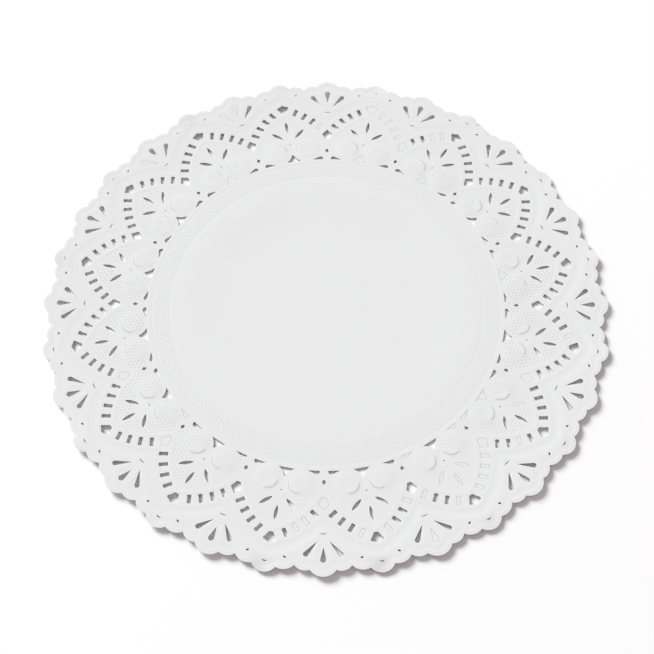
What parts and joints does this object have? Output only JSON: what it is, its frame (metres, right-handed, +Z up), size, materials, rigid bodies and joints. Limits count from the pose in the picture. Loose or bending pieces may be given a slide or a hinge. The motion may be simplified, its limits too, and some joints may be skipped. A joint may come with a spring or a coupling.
{
  "type": "lace doily",
  "caption": "Round paper lace doily: a thin flat sheet with a plain centre and an embossed, pierced border with a scalloped edge.",
  "frame": {"origin": "middle of the underside, on the surface that the doily lies on", "axes": "+Z up out of the face side, +Y towards the tip of one lace arch, +X across it"},
  "size_m": [0.3048, 0.3048, 0.0012],
  "materials": {
    "white_paper": "matt, uncoated, embossed"
  },
  "bodies": {
    "root": {"doily_sheet": "white_paper"}
  },
  "joints": []
}
